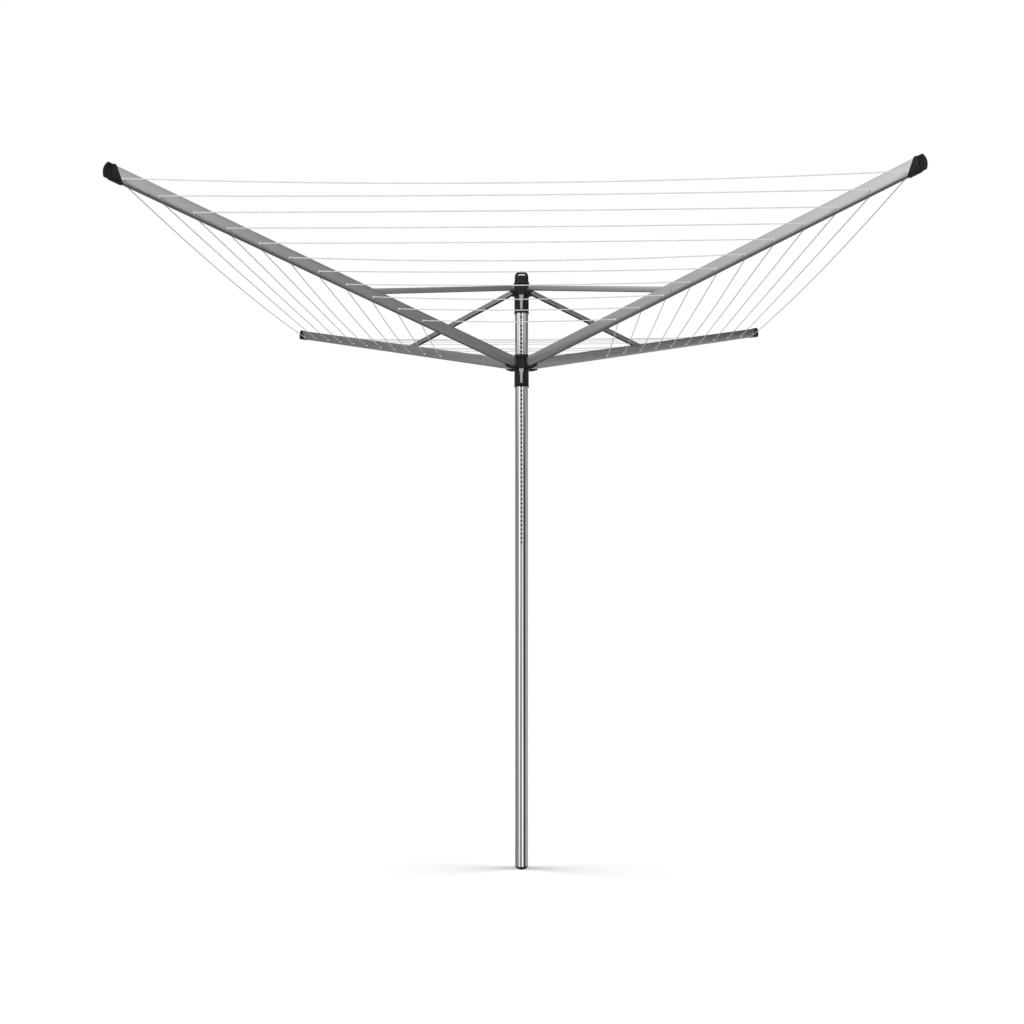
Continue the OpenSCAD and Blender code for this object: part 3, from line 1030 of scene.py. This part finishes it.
    def lamp(self, name: str, lean: float, roll: float, power: float, lit: Lit) -> None:
        """Adds a broad lamp that metal doesn't mirror.

        Args:
            name: the lamp's name.
            lean: its turn about X, which brings it forward.
            roll: its turn about Y, which brings it to one hand.
            power: its strength.
            lit: what it lights.
        """
        data = bpy.data.lights.new(name, "SUN")
        data.energy = power
        data.angle = math.radians(self.lamp_spread)
        lamp = bpy.data.objects.new(name, data)
        lamp.rotation_euler = (math.radians(lean), math.radians(roll), 0)
        lamp.visible_glossy = False
        bpy.context.scene.collection.objects.link(lamp)
        linked = bpy.data.collections.new(name + "_floor")
        linked.objects.link(bpy.data.objects["floor"])
        linked.collection_objects[0].light_linking.link_state = lit.value
        lamp.light_linking.receiver_collection = linked


# ---- pieces ----


@dataclass
class ClothesLine:
    """Eleven rounds of line, in the lengths that each arm carries."""

    bench: Bench
    slack: float = 6 * MM
    loose: dict[int, float] = field(default_factory=lambda: {
        10: 20 * MM, 8: 3 * MM, 7: 3 * MM, 6: 3 * MM, 5: 14 * MM, 2: 10 * MM
    })
    steps: int = 12
    bend: float = 1.6 * MM
    bend_in: float = 0.3
    bend_out: float = 0.4

    def build(self) -> None:
        """Makes every crossing and every half of a side."""
        for i in ARMS:
            self.crossings(i)
            for level in range(LINK.levels):
                for side in (-1, 1):
                    self.half_side(i, level, side)

    def tube(self, routes: Sequence[Sequence[Vector]]) -> Piece:
        """A round mesh tube along each route.

        Args:
            routes: the points that each tube follows.

        Returns:
            The tubes as one piece.
        """
        curve = bpy.data.curves.new("line", "CURVE")
        curve.dimensions = "3D"
        curve.bevel_depth = LINK.line_r
        curve.bevel_resolution = 2
        curve.use_fill_caps = True
        for route in routes:
            spline = curve.splines.new("POLY")
            spline.points.add(len(route) - 1)
            for point, place in zip(spline.points, route):
                point.co = (*place, 1.0)
        piece = bpy.data.objects.new("line", curve)
        bpy.context.scene.collection.objects.link(piece)
        self.bench.take(piece)
        bpy.ops.object.convert(target="MESH")
        return bpy.context.object

    def hole(self, i: int, level: int) -> Matrix:
        """Frame of a line hole: +X away from the mast, +Y round it, level."""
        along = LINK.line_l(level)
        centre = LINK.in_arm(i) @ Vector((along, 0, LINK.line_q))
        return Matrix.Translation(centre) @ Matrix.Rotation(LINK.bearing(i), 4, "Z")

    def crossings(self, i: int) -> None:
        """The short straight lengths that pass through an arm's eyelets."""
        reach = LINK.line_out - self.bend
        routes = [
            [self.hole(i, level) @ Vector((0, y, 0)) for y in (-reach, 0, reach)]
            for level in range(LINK.levels)
        ]
        self.hand_over(self.tube(routes), f"clothes_line_{i}_crossings", i)

    def half_side(self, i: int, level: int, side: int) -> None:
        """One length from an eyelet to the middle of its side, with its sag.

        Args:
            i: the arm that holds it.
            level: 0 for the innermost round.
            side: 1 for anticlockwise from the arm, -1 for clockwise.
        """
        hole = self.hole(i, level)
        radius = LINK.hole_radius(level, LINK.arm_tilt)
        half = (radius - LINK.line_out) / 2
        drop = self.loose.get(level, self.slack)
        turn = Vector((0, side * LINK.line_out, 0))
        into = Vector((0, side * self.bend, 0))
        route = [turn - into, turn - into * self.bend_in]
        for step in range(self.steps + 1):
            share = step / self.steps if step else self.bend / half * self.bend_out
            fall = drop * (1 - (1 - share) ** 2)
            route.append(turn + Vector((-half * share, side * half * share, -fall)))
        piece = self.tube([[hole @ point for point in route]])
        hand = "left" if side > 0 else "right"
        self.hand_over(piece, f"clothes_line_{i}_level_{level + 1:02d}_{hand}", i)
        reach = Vector((-half, side * half, -drop))
        self.crumple(piece, i, level, side, reach)

    def crumple(
        self, piece: Piece, i: int, level: int, side: int,
        reach: Vector,
    ) -> None:
        """Works out how a half side would move along its arm when the umbrella folds, and
        gives it its own mesh; the move is not applied.

        Args:
            piece: the half side.
            i: the arm that holds it.
            level: 0 for the innermost round.
            side: 1 for anticlockwise from the arm, -1 for clockwise.
            reach: from there to the middle of the side, in the hole's frame.
        """
        tilt, folded = LINK.arm_tilt, LINK.arm_tilt_folded
        along = reach.x * math.cos(tilt) + reach.z * math.sin(tilt)
        square = reach.z * math.cos(tilt) - reach.x * math.sin(tilt)
        short = (LINK.hole_radius(level, folded) - LINK.line_out) / 2
        square_folded = (along * math.cos(folded) + short) / math.sin(folded)
        move = Vector((0, side * short - reach.y, square_folded - square))
        axis = LINK.in_arm(i).to_3x3() @ move.normalized()
        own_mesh(piece)

    def hand_over(self, piece: Piece, name: str, i: int) -> None:
        """Dresses a length of line and lets it ride on its arm."""
        self.bench.finish(
            piece, name, f"arm_{i}", Slot.LINE, f"clothes_line_{i}", angle=60.0
        )


@dataclass
class Arms:
    """The four arm tubes with their tip caps and rivets."""

    bench: Bench
    edge: float = 1.4 * MM
    cap_edge: float = 0.9 * MM
    slot_in: float = 84.8 * MM
    slot_out: float = 189.6 * MM
    lug_slot: float = 12 * MM
    line_hole_r: float = 2.5 * MM

    def build(self) -> None:
        """Models one tube and one rivet, and copies them to every arm."""
        bench, tube = self.bench, self.tube()
        rivet = Rivet(bench, LINK.pin_r, LINK.arm_w).build()
        pin = Matrix.Translation((LINK.brace_pin_l, 0, LINK.arm_mid - LINK.pin_down))
        for i in ARMS:
            arm, place = f"arm_{i}", LINK.in_arm(i)
            piece = bench.copy(tube, place)
            bench.finish(piece, f"arm_{i}_tube", arm, Slot.ARM, arm, leg=i)
            piece = bench.copy(rivet, place @ pin)
            bench.finish(piece, f"brace_rivet_{i}", arm, Slot.STEEL, f"brace_pin_{i}")
            piece = bench.from_node(f"arm_tip_{i}", self.cap_edge)
            bench.finish(piece, f"arm_tip_cap_{i}", arm, Slot.BLACK, f"arm_tip_{i}")
        for pattern in (tube, rivet):
            bpy.data.objects.remove(pattern)

    def tube(self) -> Piece:
        """An arm tube in its own frame, with a round end, slots and holes."""
        bench, far, mid = self.bench, LINK.arm_len, LINK.arm_mid
        half_h, half_w, wall = LINK.arm_h / 2, LINK.arm_w / 2, LINK.arm_wall
        inner, through = half_w - wall, 4 * half_w
        piece = bench.block((-half_h, -half_w, mid - half_h), (far, half_w, mid + half_h))
        bench.round_edges(
            piece, half_h * ALMOST, 14,
            lambda at, way: at.x < NEAR - half_h and abs(way.y) > SQUARE,
        )
        bench.round_edges(
            piece, self.edge, 3,
            lambda at, way: abs(abs(at.y) - half_w) < NEAR and at.x < far - MM,
        )
        pin = (LINK.brace_pin_l, 0, mid - LINK.pin_down)
        holes = [
            bench.rod(LINK.pin_r + PIN_PLAY, (0, 0, 0), through),
            bench.rod(LINK.pin_r, pin, through),
        ]
        for level in range(LINK.levels):
            place = (LINK.line_l(level), 0, LINK.line_q)
            holes.append(bench.rod(self.line_hole_r, place, through, 20))
        return bench.cut(piece, [
            bench.block(
                (-2 * half_h, -inner, mid - half_h + wall),
                (far + half_h, inner, mid + half_h - wall),
            ),
            bench.block(
                (-2 * half_h, -inner, mid - 2 * half_h),
                (self.lug_slot, inner, mid + 2 * half_h),
            ),
            bench.block(
                (LINK.brace_pin_l - self.slot_in, -inner, mid),
                (LINK.brace_pin_l + self.slot_out, inner, mid + 2 * half_h),
            ),
            bench.join(holes),
        ])


@dataclass
class Rivet:
    """A rivet along Y with a domed head at each end."""

    bench: Bench
    radius: float
    width: float
    flange: float = 1.3 * MM
    dome: float = 1.2 * MM
    steps: int = 5
    sides: int = 24

    def build(self) -> Piece:
        """Turns the rivet about its own axis and lays it along Y."""
        head, half = self.radius + self.flange, self.width / 2
        angles = [step / self.steps * math.pi / 2 for step in range(self.steps + 1)]
        arc = [(head * math.cos(a), half + self.dome * math.sin(a)) for a in angles]
        profile = [(r, -h) for r, h in reversed(arc)]
        profile += [(self.radius, -half), (self.radius, half), *arc]
        piece = self.bench.turned(profile, self.sides)
        piece.data.transform(Matrix.Rotation(math.pi / 2, 4, "X"))
        return piece


@dataclass
class Braces:
    """The four braces, channels that are open below."""

    bench: Bench
    edge: float = 0.9 * MM

    def build(self) -> None:
        """Models one brace and copies it round the mast."""
        channel = self.channel()
        for i in ARMS:
            piece, brace = self.bench.copy(channel, LINK.in_brace(i)), f"brace_{i}"
            self.bench.finish(piece, brace + "_channel", brace, Slot.BRACE, brace, leg=i)
        bpy.data.objects.remove(channel)

    def channel(self) -> Piece:
        """A brace in its own frame, round at both ends."""
        bench, r, far = self.bench, LINK.brace_h / 2, LINK.brace_len
        half, wall = LINK.brace_w / 2, LINK.brace_wall
        piece = bench.block((-r, -half, -r), (far + r, half, r))
        bench.round_edges(
            piece, r * ALMOST, 10,
            lambda at, way: abs(way.y) > SQUARE and not NEAR - r < at.x < far + r - NEAR,
        )
        bench.round_edges(
            piece, self.edge, 3, lambda at, way: abs(abs(at.y) - half) < NEAR
        )
        pins = [(0, 0, LINK.brace_pin_in), (far, 0, -LINK.brace_pin_out)]
        holes = [bench.rod(LINK.pin_r + PIN_PLAY, pin, 4 * half) for pin in pins]
        inside = bench.block(
            (-2 * r, wall - half, -2 * r), (far + 2 * r, half - wall, r - wall)
        )
        return bench.cut(piece, [inside, bench.join(holes)])


@dataclass
class Hub:
    """One of the two hubs: its shell, its rivets and its catch."""

    bench: Bench
    name: str
    height: float
    pivot_z: float
    joint_w: float
    shell_edge: float = 0.7 * MM
    joint_play: float = 0.6 * MM
    lever_w: float = 15 * MM
    tail_w: float = 8 * MM
    lever_t: float = 3 * MM
    lever_front: float = -32 * MM
    lever_top: float = -29 * MM
    lever_taper: float = -36 * MM
    lever_neck: float = -44 * MM
    lever_foot: float = -79 * MM
    corner: float = 1.6 * MM
    dimple: Point = (1.7 * MM, 9 * MM, -75 * MM)
    bars: Point = (-31.2 * MM, -33.2 * MM, -35.2 * MM)
    bar_w: float = 0.64
    bar_t: float = 1 * MM
    bar_proud: float = 0.35 * MM
    knuckle_r: float = 2.2 * MM
    knuckle: Point = (0, -28.8 * MM, -50 * MM)

    def build(self) -> None:
        """Makes the pieces that show."""
        bench, hub = self.bench, f"{self.name}_hub"
        piece = bench.from_node(hub, self.shell_edge)
        bench.finish(piece, hub + "_shell", hub, Slot.BLACK, hub)
        rivet = Rivet(bench, LINK.pin_r, self.joint_w + self.joint_play).build()
        pin = Matrix.Translation((LINK.pivot_r, 0, self.pivot_z))
        turns = [Matrix.Rotation(LINK.bearing(i), 4, "Z") for i in ARMS]
        rivets = [bench.copy(rivet, turn @ pin) for turn in turns]
        bpy.data.objects.remove(rivet)
        piece = bench.join(rivets)
        bench.finish(piece, hub + "_rivets", hub, Slot.STEEL, hub + "_pins")
        catch, piece = f"{self.name}_catch", self.lever()
        piece.data.transform(Matrix.Translation((0, 0, self.height)))
        bench.finish(piece, catch + "_press", catch, Slot.GREY, catch + "_lever")

    def lever(self) -> Piece:
        """The catch lever: a broad head that narrows into a tail, with grip bars."""
        bench, half, front = self.bench, self.lever_w / 2, self.lever_front
        piece = bench.block(
            (-half, front, self.lever_taper), (half, front + self.lever_t, self.lever_top)
        )
        bench.pick(piece, Pick.FACES, lambda at, way: way.z < -SQUARE)
        bench.push(0, self.lever_neck - self.lever_taper)
        bpy.ops.transform.resize(value=(self.tail_w / self.lever_w, 1, 1))
        bench.push(0, self.lever_foot - self.lever_neck)
        bench.round_edges(piece, self.corner, 3, lambda at, way: abs(way.y) > SQUARE)
        radius, length, up = self.dimple
        bench.cut(piece, [bench.rod(radius, (0, front, up), length, 24)])
        bench.soften(piece, 0.4 * MM)
        bar_w, bar_t = half * self.bar_w, self.bar_t / 2
        bars = [
            bench.soften(bench.block(
                (-bar_w, front - self.bar_proud, z - bar_t),
                (bar_w, front + MM, z + bar_t),
            ), 0.25 * MM)
            for z in self.bars
        ]
        knuckle = bench.rod(self.knuckle_r, (0, 0, 0), self.tail_w, 24)
        across = Matrix.Rotation(math.pi / 2, 4, "Z")
        knuckle.data.transform(Matrix.Translation(self.knuckle) @ across)
        return bench.join([piece, *bars, knuckle])


@dataclass
class Mast:
    """The mast's foot and its cap; the tube is the CAD's own."""

    bench: Bench
    wall: float = 1.5 * MM
    plug_wall: float = 4 * MM
    plug_top: float = 46 * MM
    plug_floor: float = 16 * MM
    chamfer: tuple[float, float] = (2 * MM, 4 * MM)
    cap_edge: float = 1.1 * MM

    def build(self) -> None:
        """Makes the foot and the cap and dresses them."""
        bench = self.bench
        bench.finish(self.foot(), "mast_foot_plug", "mast", Slot.BLACK, "mast_foot")
        cap = bench.from_node("top_cap", self.cap_edge, 3)
        bench.finish(cap, "top_cap_loop", "mast", Slot.BLACK, "top_cap")

    def foot(self) -> Piece:
        """The plug in the mast's lower end, with a rounded nose."""
        r, bore = LINK.mast_r, LINK.mast_r - self.wall
        inner, (lead_in, lead_up) = bore - self.plug_wall, self.chamfer
        nose = [(7, 0), (5.6, 0.5), (1.4, 4.6), (0.6, 6), (0, 9)]
        return self.bench.turned([
            (0, 0), *((r - back * MM, up * MM) for back, up in nose),
            (r, LINK.foot_up), (bore, LINK.foot_up), (bore, self.plug_top - lead_up),
            (bore - lead_in, self.plug_top), (inner, self.plug_top),
            (inner, self.plug_floor), (0, self.plug_floor),
        ])


def dress_nodes(finishes: Finishes) -> None:
    """Dresses every CAD node that still shows in its slot's finish.

    Args:
        finishes: the finishes.
    """
    plain = finishes.plain
    dressed = {
        "mast_tube": plain[Slot.MAST],
        **{f"line_eyelets_{i}": plain[Slot.EYELET] for i in ARMS},
    }
    for hub in ("upper", "lower"):
        dressed[f"{hub}_hub_bushes"] = plain[Slot.GREY]
        dressed[f"{hub}_catch_pin"] = plain[Slot.STEEL]
        dressed[f"{hub}_catch_spring"] = plain[Slot.STEEL]
    for node, material in dressed.items():
        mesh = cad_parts[node].data
        mesh.materials.clear()
        mesh.materials.append(material)
        LOG.info("%s: dressed in %s", node, material.name)


def main() -> None:
    """Builds the studio and then every piece, in order."""
    logging.basicConfig(level=logging.INFO, format="%(name)s: %(message)s")
    Studio().build()
    finishes = Finishes()
    bench = Bench(finishes)
    ClothesLine(bench).build()
    Arms(bench).build()
    Braces(bench).build()
    Hub(bench, "upper", LINK.upper_hub_z, LINK.brace_pivot_z, LINK.brace_w).build()
    Hub(bench, "lower", LINK.lower_hub_z, LINK.arm_pivot_z, LINK.arm_w).build()
    Mast(bench).build()
    dress_nodes(finishes)
    bench.clear()


if __name__ == "__main__":
    main()
